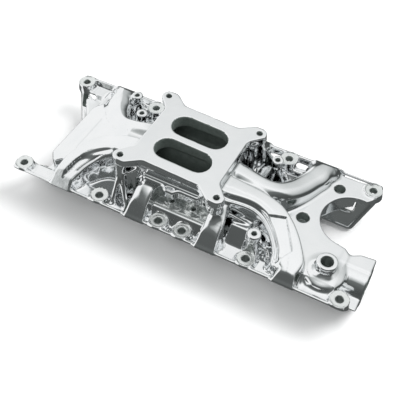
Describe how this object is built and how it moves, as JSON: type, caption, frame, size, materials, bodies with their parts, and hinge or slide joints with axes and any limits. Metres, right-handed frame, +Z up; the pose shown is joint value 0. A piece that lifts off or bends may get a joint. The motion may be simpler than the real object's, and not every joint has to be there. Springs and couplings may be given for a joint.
{
  "type": "intake manifold",
  "caption": "Cast dual-plane intake manifold for a vee engine: flanged plenum, curved runners to two 45-degree head faces, coolant crossover and bolt bosses.",
  "frame": {"origin": "centre of the bounding box's bottom, on the feet of the two head flanges", "axes": "+X to the engine's front, +Y to the engine's left bank, +Z up"},
  "size_m": [0.5308, 0.22, 0.118],
  "materials": {
    "polished_aluminium": "mirror-polished casting",
    "machined_aluminium": "fine machined",
    "zinc_plated_steel": "zinc plated sheet"
  },
  "bodies": {
    "root": {"carburettor_flange": "machined_aluminium", "plenum_floor": "polished_aluminium", "plenum_front_wall": "polished_aluminium", "plenum_rear_wall": "polished_aluminium", "plenum_left_wall": "polished_aluminium", "plenum_right_wall": "polished_aluminium", "plenum_divider": "polished_aluminium", "front_left_stud_column": "polished_aluminium", "rear_left_stud_column": "polished_aluminium", "rear_right_stud_column": "polished_aluminium", "front_right_stud_column": "polished_aluminium", "runner_1": "polished_aluminium", "runner_2": "polished_aluminium", "runner_3": "polished_aluminium", "runner_4": "polished_aluminium", "runner_5": "polished_aluminium", "runner_6": "polished_aluminium", "runner_7": "polished_aluminium", "runner_8": "polished_aluminium", "runner_1_elbow": "polished_aluminium", "runner_4_elbow": "polished_aluminium", "runner_5_elbow": "polished_aluminium", "runner_8_elbow": "polished_aluminium", "right_head_flange": "polished_aluminium", "left_head_flange": "polished_aluminium", "right_bolt_boss_1": "machined_aluminium", "right_bolt_boss_2": "machined_aluminium", "right_bolt_boss_3": "machined_aluminium", "right_bolt_boss_4": "machined_aluminium", "right_bolt_boss_5": "machined_aluminium", "right_bolt_boss_6": "machined_aluminium", "left_bolt_boss_1": "machined_aluminium", "left_bolt_boss_2": "machined_aluminium", "left_bolt_boss_3": "machined_aluminium", "left_bolt_boss_4": "machined_aluminium", "left_bolt_boss_5": "machined_aluminium", "left_bolt_boss_6": "machined_aluminium", "coolant_crossover": "polished_aluminium", "thermostat_neck": "polished_aluminium", "heater_hose_boss": "polished_aluminium", "coil_bracket_boss": "polished_aluminium", "throttle_bracket_boss": "polished_aluminium", "rear_bracket_boss_inner": "polished_aluminium", "rear_bracket_boss_outer": "polished_aluminium", "choke_heat_pad": "polished_aluminium", "choke_tube_boss_front": "machined_aluminium", "choke_tube_boss_rear": "machined_aluminium", "vacuum_rail": "polished_aluminium", "rear_deck": "polished_aluminium", "rear_end_rail": "polished_aluminium", "front_end_rail": "polished_aluminium", "valley_web": "polished_aluminium", "heat_crossover": "polished_aluminium", "oil_shield": "zinc_plated_steel", "shield_screw_1": "zinc_plated_steel", "shield_screw_2": "zinc_plated_steel", "shield_screw_3": "zinc_plated_steel", "shield_screw_4": "zinc_plated_steel"}
  },
  "joints": []
}
